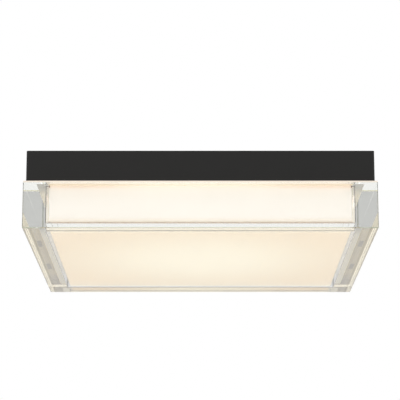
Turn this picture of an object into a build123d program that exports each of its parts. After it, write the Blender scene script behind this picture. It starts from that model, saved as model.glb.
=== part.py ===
from build123d import *
import os
from math import radians, tan

# Square flush mount ceiling light, in millimetres.
# +Z is up and the origin is the middle of the ceiling face, so the light hangs below z = 0.
# The photographed front is the -Y side.

# Lens: a thick clear block, hollowed from above
lens_size = 305.0
lens_height = 40.45
lens_wall = 18.5
lens_floor = 6.8
lens_corner_radius = 0.6
lens_edge_chamfer = 0.5
lens_pocket_radius = 0.8
lens_gasket_thickness = 1.2
lens_gasket_inset = 0.2

# Canopy: a die-cast pan, open towards the ceiling
canopy_inset = 2.25
canopy_height = 27.2
canopy_wall = 2.5
canopy_floor = 3.0
canopy_corner_radius = 2.0
canopy_edge_chamfer = 0.6
cavity_corner_radius = 3.0
floor_rib_height = 3.0
floor_rib_width = 2.5
wall_rib_thickness = 2.0
wall_rib_middle = 30.0
wall_rib_corner_gap = 37.0
ceiling_gasket_width = 5.5
ceiling_gasket_height = 4.0
stop_spacing = 104.0
stop_length = 25.0
stop_width = 3.6

# Diffuser: an opal box inside the lens, held from above at its corner posts, with a flange that carries the lens
diffuser_side_gap = 2.6
diffuser_floor_gap = 1.2
diffuser_wall = 2.5
diffuser_corner_radius = 1.5
diffuser_edge_chamfer = 0.8
diffuser_flange_width = 10.0
post_size = 12.0
post_length = 14.0

# Light source: a square LED board on a thermal pad
board_post_gap = 2.0
board_thickness = 1.6
thermal_pad_thickness = 0.5
thermal_pad_inset = 1.0
led_count = 8
led_size = 3.0
led_height = 0.7
connector_size = 14.0
connector_height = 4.5

# Mounting plate: pressed steel, with end flanges that the set screws press on
plate_thickness = 1.6
pad_size = 112.0
pad_corner_radius = 8.0
arm_width = 46.0
arm_blend_radius = 6.0
arm_lip_depth = 7.6
arm_lip_end_gap = 6.0
pick_margin = 0.1
bend_radius = 1.0
flange_floor_gap = 4.2
wire_hole_diameter = 38.0
box_slot_spacing = 79.4
box_slot_width = 4.8
box_slot_length = 16.0
ground_screw_inset = 16.0

# Set screws: one in each side wall
set_screw_diameter = 4.0
set_screw_length = 12.0
set_screw_recess = 0.4
set_screw_tip_gap = 0.05
set_screw_tip_chamfer = 0.7
hex_key = 2.0
hex_depth = 2.5
set_boss_depth = 7.0
set_boss_width = 14.0
set_boss_cover = 5.5

# Driver: a closed case with end tabs, on bosses above the floor ribs
boss_size = 9.0
module_boss_height = 4.5
driver_length = 118.0
driver_width = 38.0
driver_height = 15.0
driver_cover_thickness = 2.0
driver_wall = 1.6
driver_floor = 2.5
driver_corner_chamfer = 1.5
cover_lip_depth = 2.0
cover_lip_thickness = 1.2
tab_length = 10.0
tab_width = 18.0
tab_corner_radius = 3.0
driver_standoff = 2.5
driver_board_thickness = 1.6
lead_exit_height = 7.5

# Terminal block: where the house supply is connected
terminal_depth = 22.0
terminal_width = 32.0
terminal_height = 13.0
terminal_edge_chamfer = 0.8
pole_count = 3
pole_pitch = 10.0
clamp_offset = 5.5
clamp_screw_diameter = 4.0
clamp_screw_length = 5.0
clamp_screw_recess = 2.0
wire_entry_height = 4.5
wire_entry_size = 2.8
wire_entry_depth = 8.0

# Leads held inside the canopy
lead_diameter = 2.0
lead_pair_spacing = 4.8
lead_insertion = 6.0
led_lead_run = 25.0
input_lead_run = 34.0
input_lead_straight = 9.0
bend_share = 0.45
grommet_bore = 8.0
grommet_neck = 12.0
grommet_flange_diameter = 17.0
grommet_flange_thickness = 1.5

# Earth point of the canopy
earth_lead_reach = 18.0
earth_lead_drop = 34.0
earth_ring_diameter = 8.0
earth_ring_thickness = 0.8
earth_barrel_diameter = 3.4
earth_barrel_length = 5.0

# Small screws
large_screw_diameter = 4.0
large_head_diameter = 7.0
large_head_height = 2.6
small_screw_diameter = 3.0
small_head_diameter = 5.6
small_head_height = 2.2
drive_width = 0.9
drive_depth = 1.1
diffuser_screw_length = 12.0
board_screw_length = 8.0
module_screw_length = 8.0
screw_hole_spare = 0.8
screw_boss_cap = 1.0
small_round_sides = 12
medium_round_sides = 24
lead_sides = 6

# Clearances
thread_clearance = 0.05
free_clearance = 0.25
lead_clearance = 0.1
seat_clearance = 0.05
slip_clearance = 0.1

# Levels
canopy_bottom = -canopy_height
floor_top = canopy_bottom + canopy_floor
cavity_depth = canopy_height - canopy_floor
lens_gasket_bottom = canopy_bottom - lens_gasket_thickness
lens_top = lens_gasket_bottom - seat_clearance
lens_bottom = lens_top - lens_height
diffuser_top = canopy_bottom - seat_clearance
diffuser_bottom = lens_bottom + lens_floor + diffuser_floor_gap
board_top = canopy_bottom - thermal_pad_thickness
board_bottom = board_top - board_thickness
set_screw_level = -cavity_depth / 2
module_base = floor_top + module_boss_height
lead_exit_level = module_base + lead_exit_height
wire_entry_level = module_base + wire_entry_height
earth_boss_top = wire_entry_level - earth_barrel_diameter / 2

# Plan sizes
canopy_size = lens_size - 2 * canopy_inset
cavity_size = canopy_size - 2 * canopy_wall
pocket_size = lens_size - 2 * lens_wall
diffuser_size = pocket_size - 2 * diffuser_side_gap
diffuser_inside = diffuser_size - 2 * diffuser_wall
diffuser_flange_size = diffuser_size + 2 * diffuser_flange_width
lens_gasket_size = lens_size - 2 * lens_gasket_inset
lens_gasket_hole = diffuser_flange_size + 2 * free_clearance
stop_x = (canopy_size + lens_gasket_hole) / 4
post_centre = (diffuser_inside - post_size) / 2
board_size = 2 * (post_centre - post_size / 2 - board_post_gap)
led_pitch = board_size / led_count
board_screw_offset = 2 * led_pitch
flange_reach = canopy_size / 2 - set_screw_recess - set_screw_length - set_screw_tip_gap
flange_depth = cavity_depth - flange_floor_gap
ground_screw_offset = pad_size / 2 - ground_screw_inset

# Places in plan: the driver, its leads and the terminal block stand in one row
lead_x = 3 * led_pitch
lead_y = 3 * led_pitch
driver_x = lead_x - led_lead_run - driver_length / 2
driver_end = driver_length / 2 - driver_wall
tab_reach = (driver_length + tab_length) / 2
terminal_face = driver_x - driver_length / 2 - input_lead_run
terminal_x = terminal_face - terminal_depth / 2
earth_x = terminal_face + earth_lead_reach
earth_pole_y = lead_y - pole_pitch
earth_y = earth_pole_y - earth_lead_drop
lead_pair = (lead_y + lead_pair_spacing / 2, lead_y - lead_pair_spacing / 2)
pole_rows = [lead_y + (i - (pole_count - 1) / 2) * pole_pitch for i in range(pole_count)]

sides = (-1, 1)
stop_points = [(i * stop_x, j * stop_spacing / 2) for i in sides for j in sides]
post_points = [(i * post_centre, j * post_centre) for i in sides for j in sides]
board_screw_points = [(i * board_screw_offset, j * board_screw_offset) for i in sides for j in sides]
board_screw_points.append((0, 0))
tab_points = [(driver_x + i * tab_reach, lead_y) for i in sides]
terminal_fixing_points = [(terminal_x, lead_y + i * pole_pitch / 2) for i in sides]
clamp_points = [(terminal_x + i * clamp_offset, y) for i in sides for y in pole_rows]
rib_outer = cavity_size / 2 - wall_rib_corner_gap
wall_rib_rows = (-rib_outer, -wall_rib_middle, wall_rib_middle, rib_outer)


def at_level(points, level):
    """Lift plan points to a level."""
    return [(x, y, level) for x, y in points]


def small_round(diameter, mode=Mode.ADD, sides=small_round_sides):
    """A round too small to need a true circle: a screw, its hole or a bore."""
    return RegularPolygon(diameter / 2, sides, mode=mode)


def pan_screw(shank_diameter, head_diameter, head_height, length):
    """One screw with its head on z = 0 and its shank pointing down."""
    with BuildPart() as screw:
        with BuildSketch():
            small_round(head_diameter)
        extrude(amount=head_height)
        with BuildSketch():
            small_round(shank_diameter)
        extrude(amount=-length)
    return screw.part


def bent_lead(points):
    """A round lead along straight runs, with the widest arcs that the runs leave room for."""
    corners = [Vector(*point) for point in points]
    radii = []
    for before, corner, after in zip(corners, corners[1:], corners[2:]):
        run_in = corner - before
        run_out = after - corner
        half_turn = radians(run_in.get_angle(run_out)) / 2
        radii.append(bend_share * min(run_in.length, run_out.length) / tan(half_turn))
    with BuildPart() as lead:
        with BuildLine():
            FilletPolyline(*corners, radius=radii)
        with BuildSketch(Plane(origin=corners[0], z_dir=corners[1] - corners[0])):
            RegularPolygon(lead_diameter / 2, lead_sides)
        sweep()
    return lead


def input_lead(pole_y, exit_y):
    """A lead from a terminal pole to the supply end of the driver."""
    driver_face = driver_x - driver_length / 2
    return bent_lead(
        [
            (terminal_face - lead_insertion, pole_y, wire_entry_level),
            (terminal_face + input_lead_straight, pole_y, wire_entry_level),
            (driver_face - input_lead_straight, exit_y, lead_exit_level),
            (driver_x - driver_end, exit_y, lead_exit_level),
        ]
    )


def led_lead(row):
    """A lead from the driver down through the canopy floor to the LED board's connector."""
    return bent_lead(
        [
            (driver_x + driver_end, row, lead_exit_level),
            (lead_x, row, lead_exit_level),
            (lead_x, row, board_bottom),
        ]
    )


def set_screw(side):
    """The grub screw of one side wall, its tip against the plate's flange."""
    mouth = Plane(
        origin=(side * (canopy_size / 2 - set_screw_recess), 0, set_screw_level),
        x_dir=(0, 1, 0),
        z_dir=(side, 0, 0),
    )
    with BuildPart() as screw:
        with BuildSketch(mouth):
            Circle(set_screw_diameter / 2)
        extrude(amount=-set_screw_length)
        tip = screw.faces().sort_by(Axis.X)[0 if side > 0 else -1]
        chamfer(tip.edges(), set_screw_tip_chamfer)
        with BuildSketch(mouth):
            RegularPolygon(hex_key / 2, 6, major_radius=False)
        extrude(amount=-hex_depth, mode=Mode.SUBTRACT)
    return screw


# Mounting plate: pad, two arms bent down at their ends, and lips that stiffen the arms
with BuildPart() as mounting_plate:
    with BuildSketch(Plane.XZ) as bent_strip:
        with Locations((0, -flange_depth / 2)):
            Rectangle(2 * flange_reach, flange_depth)
        top_corners = bent_strip.vertices().group_by(Axis.Y)[-1]
        fillet(top_corners, plate_thickness + bend_radius)
        with BuildSketch(mode=Mode.SUBTRACT) as hollow:
            with Locations((0, -plate_thickness - flange_depth / 2)):
                Rectangle(2 * (flange_reach - plate_thickness), flange_depth)
            fillet(hollow.vertices().group_by(Axis.Y)[-1], bend_radius)
    extrude(amount=arm_width / 2, both=True)
    with BuildSketch(Plane.XY.offset(-plate_thickness)):
        RectangleRounded(pad_size, pad_size, pad_corner_radius)
    extrude(amount=plate_thickness)
    inner_corners = mounting_plate.edges().filter_by(Axis.Z)
    inner_corners = inner_corners.filter_by_position(Axis.X, -pad_size / 2 - pick_margin, pad_size / 2 + pick_margin)
    inner_corners = inner_corners.filter_by_position(Axis.Y, -arm_width / 2 - pick_margin, arm_width / 2 + pick_margin)
    fillet(inner_corners, arm_blend_radius)
    lip_start = pad_size / 2 + arm_blend_radius
    lip_end = flange_reach - plate_thickness - bend_radius - arm_lip_end_gap
    with BuildSketch(Plane.XY.offset(-arm_lip_depth)):
        with GridLocations(lip_start + lip_end, arm_width - plate_thickness, 2, 2):
            Rectangle(lip_end - lip_start, plate_thickness)
    extrude(amount=arm_lip_depth - plate_thickness)
    with BuildSketch():
        Circle(wire_hole_diameter / 2)
        with GridLocations(box_slot_spacing, 0, 2, 1):
            SlotOverall(box_slot_length, box_slot_width)
        with GridLocations(0, box_slot_spacing, 1, 2):
            SlotOverall(box_slot_length, box_slot_width, rotation=90)
        with Locations((ground_screw_offset, -ground_screw_offset)):
            small_round(large_screw_diameter + 2 * thread_clearance)
    extrude(amount=-plate_thickness, mode=Mode.SUBTRACT)

# Ground screw: hangs under the plate, its end flush with the ceiling face
with BuildPart() as ground_screw:
    with Locations(Location((ground_screw_offset, -ground_screw_offset, -plate_thickness), (180, 0, 0))):
        add(pan_screw(large_screw_diameter, large_head_diameter, large_head_height, plate_thickness))

# Canopy: the pan, the stops under it that bear on the lens, its ribs and bosses, then every hole
with BuildPart() as canopy:
    with BuildSketch(Plane.XY.offset(canopy_bottom)):
        RectangleRounded(canopy_size, canopy_size, canopy_corner_radius)
    extrude(amount=canopy_height)
    chamfer(canopy.faces().sort_by(Axis.Z)[0].edges(), canopy_edge_chamfer)
    with BuildSketch(Plane.XY.offset(floor_top)):
        RectangleRounded(cavity_size, cavity_size, cavity_corner_radius)
    extrude(amount=cavity_depth, mode=Mode.SUBTRACT)
    with BuildSketch(Plane.XY.offset(canopy_bottom)):
        with Locations(*stop_points):
            Rectangle(stop_width, stop_length)
    extrude(amount=-lens_gasket_thickness)
    with BuildSketch(Plane.XY.offset(floor_top)):
        with GridLocations(board_screw_offset, 0, 3, 1):
            Rectangle(floor_rib_width, board_size)
        with GridLocations(0, board_screw_offset, 1, 3):
            Rectangle(board_size, floor_rib_width)
    extrude(amount=floor_rib_height)
    with BuildSketch(Plane.XY.offset(floor_top)):
        with PolarLocations(0, 4):
            with Locations(*[((cavity_size - ceiling_gasket_width) / 2, row) for row in wall_rib_rows]):
                Rectangle(ceiling_gasket_width, wall_rib_thickness)
    extrude(amount=cavity_depth - ceiling_gasket_height)
    with BuildSketch(Plane.XY.offset(floor_top)):
        with GridLocations(cavity_size - set_boss_depth, 0, 2, 1):
            Rectangle(set_boss_depth, set_boss_width)
    extrude(amount=cavity_depth / 2 + set_boss_cover)
    board_hole_depth = board_screw_length - board_thickness - thermal_pad_thickness + screw_hole_spare
    with BuildSketch(Plane.XY.offset(floor_top)):
        with Locations(*board_screw_points):
            Rectangle(boss_size, boss_size)
    extrude(amount=board_hole_depth + screw_boss_cap - canopy_floor)
    with BuildSketch(Plane.XY.offset(floor_top)):
        with Locations(*tab_points, *terminal_fixing_points):
            Rectangle(boss_size, boss_size)
    extrude(amount=module_boss_height)
    with BuildSketch(Plane.XY.offset(floor_top)):
        with Locations((earth_x, earth_y)):
            Rectangle(boss_size, boss_size)
    extrude(amount=earth_boss_top - floor_top)
    with BuildSketch(Plane.XY.offset(canopy_bottom)):
        with Locations(*board_screw_points):
            small_round(small_screw_diameter + 2 * thread_clearance)
    extrude(amount=board_hole_depth, mode=Mode.SUBTRACT)
    with BuildSketch(Plane.XY.offset(module_base)):
        with Locations(*tab_points, *terminal_fixing_points):
            small_round(small_screw_diameter + 2 * thread_clearance)
    extrude(amount=driver_floor - module_screw_length - screw_hole_spare, mode=Mode.SUBTRACT)
    with BuildSketch(Plane.XY.offset(earth_boss_top)):
        with Locations((earth_x, earth_y)):
            small_round(large_screw_diameter + 2 * thread_clearance)
    extrude(amount=-module_screw_length, mode=Mode.SUBTRACT)
    with BuildSketch(Plane.XY.offset(floor_top)):
        with Locations(*post_points):
            small_round(small_screw_diameter + 2 * free_clearance)
    extrude(amount=-canopy_floor, mode=Mode.SUBTRACT)
    with BuildSketch(Plane.XY.offset(floor_top)):
        with Locations((lead_x, lead_y)):
            small_round(grommet_neck + 2 * seat_clearance, sides=medium_round_sides)
    extrude(amount=-canopy_floor, mode=Mode.SUBTRACT)
    with BuildSketch(Plane.YZ):
        with Locations((0, set_screw_level)):
            Circle(set_screw_diameter / 2 + thread_clearance)
    extrude(amount=canopy_size / 2, both=True, mode=Mode.SUBTRACT)

# Ceiling gasket: rubber ring on the wall ribs, level with the rim
with BuildPart() as ceiling_gasket:
    gasket_size = cavity_size - 2 * slip_clearance
    gasket_hole = gasket_size - 2 * ceiling_gasket_width
    with BuildSketch(Plane.XY.offset(-ceiling_gasket_height)):
        RectangleRounded(gasket_size, gasket_size, cavity_corner_radius)
        RectangleRounded(gasket_hole, gasket_hole, cavity_corner_radius, mode=Mode.SUBTRACT)
    extrude(amount=ceiling_gasket_height)

left_set_screw = set_screw(-1)
right_set_screw = set_screw(1)

# Driver case: open tray with end tabs, standoffs for its board and holes for the leads
driver_inside = (driver_length - 2 * driver_wall, driver_width - 2 * driver_wall)
case_height = driver_height - driver_cover_thickness
standoff_spacing = (driver_inside[0] - 4 * driver_wall, driver_inside[1] - 4 * driver_wall)
with BuildPart() as driver_case:
    with BuildSketch(Plane.XY.offset(module_base)):
        with Locations((driver_x, lead_y)):
            Rectangle(driver_length, driver_width)
    extrude(amount=case_height)
    chamfer(driver_case.edges().filter_by(Axis.Z), driver_corner_chamfer)
    with BuildSketch(Plane.XY.offset(module_base + driver_floor)):
        with Locations((driver_x, lead_y)):
            Rectangle(*driver_inside)
    extrude(amount=case_height, mode=Mode.SUBTRACT)
    with BuildSketch(Plane.XY.offset(module_base)):
        with Locations((driver_x, lead_y)):
            RectangleRounded(driver_length + 2 * tab_length, tab_width, tab_corner_radius)
        with Locations(*tab_points):
            small_round(small_screw_diameter + 2 * free_clearance, mode=Mode.SUBTRACT)
    extrude(amount=driver_floor)
    with BuildSketch(Plane.XY.offset(module_base)):
        with Locations((driver_x, lead_y)):
            with GridLocations(*standoff_spacing, 2, 2):
                Rectangle(2 * driver_wall, 2 * driver_wall)
    extrude(amount=driver_floor + driver_standoff)
    lead_slot = lead_diameter + 2 * lead_clearance
    with BuildSketch(Plane.YZ.offset(driver_x)):
        with Locations((lead_y, lead_exit_level)):
            Rectangle(lead_pair_spacing + lead_slot, lead_slot)
    extrude(amount=driver_length / 2, both=True, mode=Mode.SUBTRACT)

# Driver cover: flat lid with a lip that drops into the case
with BuildPart() as driver_cover:
    with BuildSketch(Plane.XY.offset(module_base + case_height)):
        with Locations((driver_x, lead_y)):
            Rectangle(driver_length, driver_width)
    extrude(amount=driver_cover_thickness)
    chamfer(driver_cover.edges().filter_by(Axis.Z), driver_corner_chamfer)
    lip_outside = [side - 2 * slip_clearance for side in driver_inside]
    lip_inside = [side - 2 * cover_lip_thickness for side in lip_outside]
    with BuildSketch(Plane.XY.offset(module_base + case_height)):
        with Locations((driver_x, lead_y)):
            Rectangle(*lip_outside)
            Rectangle(*lip_inside, mode=Mode.SUBTRACT)
    extrude(amount=-cover_lip_depth)
    chamfer(driver_cover.faces().sort_by(Axis.Z)[-1].edges(), driver_cover_thickness / 2)

# Driver board: populated board on the standoffs
board_base = module_base + driver_floor + driver_standoff
part_height = case_height - driver_floor - driver_standoff - driver_board_thickness - cover_lip_depth
with BuildPart() as driver_board:
    with BuildSketch(Plane.XY.offset(board_base)):
        with Locations((driver_x, lead_y)):
            Rectangle(*[side - 2 * free_clearance for side in driver_inside])
    extrude(amount=driver_board_thickness)
    with BuildSketch(Plane.XY.offset(board_base + driver_board_thickness)):
        with Locations((driver_x, lead_y)):
            Rectangle(driver_width / 2, driver_width / 2)
            with GridLocations(driver_length / 2, driver_width / 3, 2, 2):
                small_round(driver_width / 4)
    extrude(amount=part_height)

# Terminal block: one wire entry on each side of every pole, clamp screws above, fixings between
with BuildPart() as terminal_block:
    with BuildSketch(Plane.XY.offset(module_base)):
        with Locations((terminal_x, lead_y)):
            Rectangle(terminal_depth, terminal_width)
    extrude(amount=terminal_height)
    chamfer(terminal_block.faces().sort_by(Axis.Z)[-1].edges(), terminal_edge_chamfer)
    for side in sides:
        with BuildSketch(Plane.YZ.offset(terminal_x + side * terminal_depth / 2)):
            with Locations(*[(row, wire_entry_level) for row in pole_rows]):
                Rectangle(wire_entry_size, wire_entry_size)
        extrude(amount=-side * wire_entry_depth, mode=Mode.SUBTRACT)
    with BuildSketch(Plane.XY.offset(module_base + terminal_height)):
        with Locations(*clamp_points):
            small_round(clamp_screw_diameter + 2 * thread_clearance)
    extrude(amount=wire_entry_height - terminal_height, mode=Mode.SUBTRACT)
    with BuildSketch(Plane.XY.offset(module_base + terminal_height)):
        with Locations(*terminal_fixing_points):
            small_round(small_head_diameter + 2 * free_clearance)
    extrude(amount=driver_floor - terminal_height, mode=Mode.SUBTRACT)
    with BuildSketch(Plane.XY.offset(module_base)):
        with Locations(*terminal_fixing_points):
            small_round(small_screw_diameter + 2 * free_clearance)
    extrude(amount=driver_floor, mode=Mode.SUBTRACT)

# Terminal screws: slotted clamp screws, sunk in the block
with BuildPart() as terminal_screws:
    clamp_top = module_base + terminal_height - clamp_screw_recess
    with BuildSketch(Plane.XY.offset(clamp_top)):
        with Locations(*clamp_points):
            small_round(clamp_screw_diameter)
    extrude(amount=-clamp_screw_length)
    with BuildSketch(Plane.XY.offset(clamp_top)):
        with Locations(*clamp_points):
            Rectangle(clamp_screw_diameter, drive_width)
    extrude(amount=-drive_depth, mode=Mode.SUBTRACT)

# Module screws: driver tabs and terminal block
with BuildPart() as module_screws:
    with Locations(*at_level(tab_points + terminal_fixing_points, module_base + driver_floor)):
        add(pan_screw(small_screw_diameter, small_head_diameter, small_head_height, module_screw_length))

live_lead = input_lead(pole_rows[2], lead_pair[0])
neutral_lead = input_lead(pole_rows[1], lead_pair[1])
led_lead_positive = led_lead(lead_pair[0])
led_lead_negative = led_lead(lead_pair[1])

# Earth terminal: flat ring under the earth screw, with a barrel for the lead
barrel_start = earth_y + earth_ring_diameter / 2
with BuildPart() as earth_terminal:
    with BuildSketch(Plane.XY.offset(earth_boss_top)):
        with Locations((earth_x, earth_y)):
            small_round(earth_ring_diameter)
            Rectangle(
                earth_barrel_diameter,
                earth_ring_diameter / 2 + earth_barrel_length / 2,
                align=(Align.CENTER, Align.MIN),
            )
            small_round(large_screw_diameter + 2 * free_clearance, mode=Mode.SUBTRACT)
    extrude(amount=earth_ring_thickness)
    barrel_plane = Plane(origin=(earth_x, barrel_start, wire_entry_level), z_dir=(0, 1, 0))
    with BuildSketch(barrel_plane):
        small_round(earth_barrel_diameter)
    extrude(amount=earth_barrel_length)
    with BuildSketch(barrel_plane):
        small_round(lead_diameter + 2 * lead_clearance)
    extrude(amount=earth_barrel_length, mode=Mode.SUBTRACT)

# Earth lead: from its pole round to the ring's barrel
earth_lead = bent_lead(
    [
        (terminal_face - lead_insertion, earth_pole_y, wire_entry_level),
        (earth_x, earth_pole_y, wire_entry_level),
        (earth_x, barrel_start, wire_entry_level),
    ]
)

with BuildPart() as earth_screw:
    with Locations((earth_x, earth_y, earth_boss_top + earth_ring_thickness)):
        add(pan_screw(large_screw_diameter, large_head_diameter, large_head_height, module_screw_length))

# Grommet: flanged bushing in the canopy floor
with BuildPart() as lead_grommet:
    with BuildSketch(Plane.XY.offset(floor_top)):
        with Locations((lead_x, lead_y)):
            small_round(grommet_flange_diameter, sides=medium_round_sides)
    extrude(amount=grommet_flange_thickness)
    chamfer(lead_grommet.faces().sort_by(Axis.Z)[-1].edges(), grommet_flange_thickness / 2)
    with BuildSketch(Plane.XY.offset(floor_top)):
        with Locations((lead_x, lead_y)):
            small_round(grommet_neck, sides=medium_round_sides)
    extrude(amount=-canopy_floor)
    with BuildSketch(Plane.XY.offset(canopy_bottom)):
        with Locations((lead_x, lead_y)):
            small_round(grommet_bore)
    extrude(amount=canopy_floor + grommet_flange_thickness, mode=Mode.SUBTRACT)

# Thermal pad and LED board share their holes
lead_hole_diameter = grommet_bore + 2 * free_clearance
with BuildPart() as thermal_pad:
    with BuildSketch(Plane.XY.offset(board_top)):
        Rectangle(board_size - 2 * thermal_pad_inset, board_size - 2 * thermal_pad_inset)
        with Locations(*board_screw_points):
            small_round(small_screw_diameter + 2 * free_clearance, mode=Mode.SUBTRACT)
        with Locations((lead_x, lead_y)):
            small_round(lead_hole_diameter, mode=Mode.SUBTRACT)
    extrude(amount=thermal_pad_thickness)

with BuildPart() as led_board:
    with BuildSketch(Plane.XY.offset(board_bottom)):
        Rectangle(board_size, board_size)
        with Locations(*board_screw_points):
            small_round(small_screw_diameter + 2 * free_clearance, mode=Mode.SUBTRACT)
        with Locations((lead_x, lead_y)):
            small_round(lead_hole_diameter, mode=Mode.SUBTRACT)
    extrude(amount=board_thickness)

with BuildPart() as led_chips:
    with BuildSketch(Plane.XY.offset(board_bottom)):
        with GridLocations(led_pitch, led_pitch, led_count, led_count):
            Rectangle(led_size, led_size)
    extrude(amount=-led_height)

with BuildPart() as board_connector:
    with BuildSketch(Plane.XY.offset(board_bottom)):
        with Locations((lead_x, lead_y)):
            Rectangle(connector_size, connector_size)
    extrude(amount=-connector_height)
    chamfer(board_connector.faces().sort_by(Axis.Z)[0].edges(), lead_diameter / 4)

with BuildPart() as board_screws:
    with Locations(*[Location((x, y, board_bottom), (180, 0, 0)) for x, y in board_screw_points]):
        add(pan_screw(small_screw_diameter, small_head_diameter, small_head_height, board_screw_length))

# Diffuser: opal box, open at the top, with a post in each corner for its screw and the flange
# that the lens is bonded to
with BuildPart() as diffuser:
    diffuser_height = diffuser_top - diffuser_bottom
    with BuildSketch(Plane.XY.offset(diffuser_bottom)):
        RectangleRounded(diffuser_size, diffuser_size, diffuser_corner_radius)
    extrude(amount=diffuser_height)
    chamfer(diffuser.faces().sort_by(Axis.Z)[0].edges(), diffuser_edge_chamfer)
    with BuildSketch(Plane.XY.offset(diffuser_bottom + diffuser_wall)):
        Rectangle(diffuser_inside, diffuser_inside)
    extrude(amount=diffuser_height, mode=Mode.SUBTRACT)
    with BuildSketch(Plane.XY.offset(diffuser_top)):
        with Locations(*post_points):
            Rectangle(post_size, post_size)
    extrude(amount=-post_length)
    with BuildSketch(Plane.XY.offset(diffuser_top)):
        with Locations(*post_points):
            small_round(small_screw_diameter + 2 * thread_clearance)
    extrude(amount=-diffuser_screw_length, mode=Mode.SUBTRACT)
    with BuildSketch(Plane.XY.offset(lens_gasket_bottom)):
        RectangleRounded(diffuser_flange_size, diffuser_flange_size, diffuser_corner_radius)
        Rectangle(diffuser_inside, diffuser_inside, mode=Mode.SUBTRACT)
    extrude(amount=diffuser_top - lens_gasket_bottom)

with BuildPart() as diffuser_screws:
    with Locations(*at_level(post_points, floor_top)):
        add(pan_screw(small_screw_diameter, small_head_diameter, small_head_height, diffuser_screw_length))

# Lens gasket: flat silicone ring on the lens walls, cut to their size and slotted round the canopy's stops
with BuildPart() as lens_gasket:
    with BuildSketch(Plane.XY.offset(lens_gasket_bottom)):
        Rectangle(lens_gasket_size, lens_gasket_size)
        Rectangle(lens_gasket_hole, lens_gasket_hole, mode=Mode.SUBTRACT)
        with Locations(*stop_points):
            slot_size = (stop_width + 2 * free_clearance, stop_length + 2 * free_clearance)
            Rectangle(*slot_size, mode=Mode.SUBTRACT)
    extrude(amount=lens_gasket_thickness)

# Clear lens: hollow block, bonded by its upper rim
with BuildPart() as clear_lens:
    with BuildSketch(Plane.XY.offset(lens_bottom)):
        RectangleRounded(lens_size, lens_size, lens_corner_radius)
    extrude(amount=lens_height)
    outer_rims = clear_lens.faces().sort_by(Axis.Z)[0].edges() + clear_lens.faces().sort_by(Axis.Z)[-1].edges()
    chamfer(outer_rims, lens_edge_chamfer)
    with BuildSketch(Plane.XY.offset(lens_bottom + lens_floor)):
        RectangleRounded(pocket_size, pocket_size, lens_pocket_radius)
    extrude(amount=lens_height - lens_floor, mode=Mode.SUBTRACT)

pieces = {
    "mounting_plate": mounting_plate,
    "ground_screw": ground_screw,
    "canopy": canopy,
    "ceiling_gasket": ceiling_gasket,
    "left_set_screw": left_set_screw,
    "right_set_screw": right_set_screw,
    "driver_case": driver_case,
    "driver_cover": driver_cover,
    "driver_board": driver_board,
    "module_screws": module_screws,
    "terminal_block": terminal_block,
    "terminal_screws": terminal_screws,
    "live_lead": live_lead,
    "neutral_lead": neutral_lead,
    "earth_lead": earth_lead,
    "earth_terminal": earth_terminal,
    "earth_screw": earth_screw,
    "led_lead_positive": led_lead_positive,
    "led_lead_negative": led_lead_negative,
    "lead_grommet": lead_grommet,
    "thermal_pad": thermal_pad,
    "led_board": led_board,
    "led_chips": led_chips,
    "board_connector": board_connector,
    "board_screws": board_screws,
    "diffuser": diffuser,
    "diffuser_screws": diffuser_screws,
    "lens_gasket": lens_gasket,
    "clear_lens": clear_lens,
}
os.makedirs("parts", exist_ok=True)
for name, piece in pieces.items():
    piece.part.label = name
    export_step(piece.part, f"parts/{name}.step")
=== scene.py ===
"""Looks of a square flush mount ceiling light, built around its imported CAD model.

All sizes are in metres, in the CAD model's frame: +Z is up, the ceiling face is z = 0 and the
photographed front is the -Y side.
"""

import logging
import math
from dataclasses import dataclass
from enum import Enum
from functools import cache, cached_property, partial, reduce
from typing import Sequence

import bmesh
import bpy
from mathutils import Matrix, Vector


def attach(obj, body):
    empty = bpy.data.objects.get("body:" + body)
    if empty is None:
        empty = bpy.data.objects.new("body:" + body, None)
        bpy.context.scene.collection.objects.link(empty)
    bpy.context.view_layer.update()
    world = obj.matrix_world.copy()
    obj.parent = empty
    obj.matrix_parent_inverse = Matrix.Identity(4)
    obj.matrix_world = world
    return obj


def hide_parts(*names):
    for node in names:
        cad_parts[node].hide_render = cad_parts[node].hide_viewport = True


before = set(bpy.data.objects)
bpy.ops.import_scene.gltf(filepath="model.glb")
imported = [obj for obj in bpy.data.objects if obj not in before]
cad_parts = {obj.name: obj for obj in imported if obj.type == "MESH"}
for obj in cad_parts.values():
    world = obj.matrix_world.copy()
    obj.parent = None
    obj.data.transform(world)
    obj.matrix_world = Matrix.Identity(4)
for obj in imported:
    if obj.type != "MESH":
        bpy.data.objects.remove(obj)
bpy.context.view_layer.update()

LOG = logging.getLogger("ceiling_light")
Pair = tuple[float, float]
Triple = tuple[float, float, float]
Quad = tuple[float, float, float, float]
Colour = Point = Triple
Mesh = bpy.types.Mesh
Piece = bpy.types.Object
Socket = bpy.types.NodeSocket
SIDES = (-1.0, 1.0)
BLACK: Colour = (0.0, 0.0, 0.0)
WHITE: Colour = (1.0, 1.0, 1.0)
BOARD_UNDER = -0.0293
MODULE_ROW = 0.086175
POLE_PITCH = 0.010
SCREW_SIZES = ("Head Diameter", "Head Height", "Shank Diameter", "Shank Length", "Dome", "Drive Width")


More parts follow.
